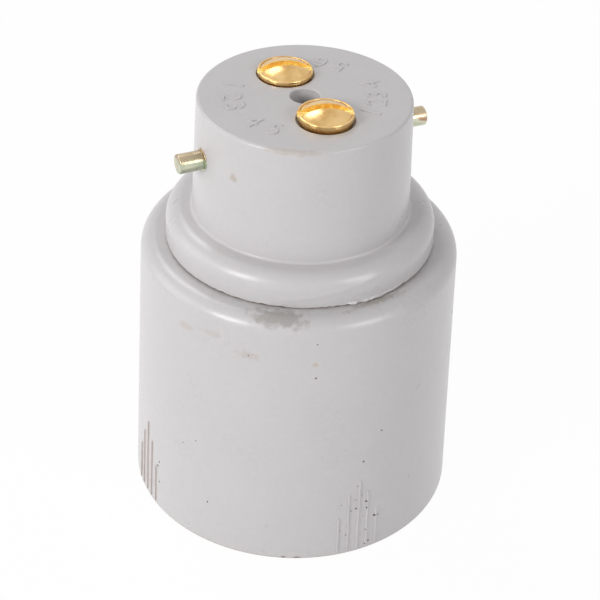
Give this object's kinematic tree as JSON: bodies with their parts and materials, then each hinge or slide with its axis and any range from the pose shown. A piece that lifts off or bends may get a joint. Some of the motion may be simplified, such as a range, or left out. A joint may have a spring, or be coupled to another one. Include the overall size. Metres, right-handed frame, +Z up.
{
  "type": "lamp socket adapter",
  "caption": "Moulded lamp socket adapter: a two-pin bayonet cap on top, a screw socket for a lamp below, with domed screws as contacts and a sprung centre contact inside.",
  "frame": {"origin": "centre of the open mouth, on the plane that the adapter stands on", "axes": "+Z up the adapter's axis to its bayonet end, +X along the bayonet pins, -Y to the screw nearer the camera"},
  "size_m": [0.0348, 0.0348, 0.0479],
  "materials": {
    "housing_plastic": "satin light grey moulding",
    "plated_steel": "yellow-passivated zinc plate",
    "screw_brass": "polished",
    "nut_brass": "plain turned",
    "shell_aluminium": "bright rolled sheet",
    "contact_brass": "rolled strip"
  },
  "bodies": {
    "adapter": {"sleeve": "housing_plastic", "bayonet_cap": "housing_plastic", "bayonet_pin_right": "plated_steel", "bayonet_pin_left": "plated_steel", "contact_screw_front": "screw_brass", "contact_screw_rear": "screw_brass", "contact_nut_front": "nut_brass", "contact_nut_rear": "nut_brass", "thread_shell": "shell_aluminium"},
    "centre_spring": {"centre_contact": "contact_brass"}
  },
  "joints": [
    {"name": "centre_contact_flex", "type": "hinge", "parent": "adapter", "child": "centre_spring", "pos_m": [0, -0.00825, 0.0246], "axis": [1, 0, 0], "range_deg": [0, 10], "stiffness_Nm_per_rad": 0.4, "deforming": ["centre_contact"]}
  ]
}
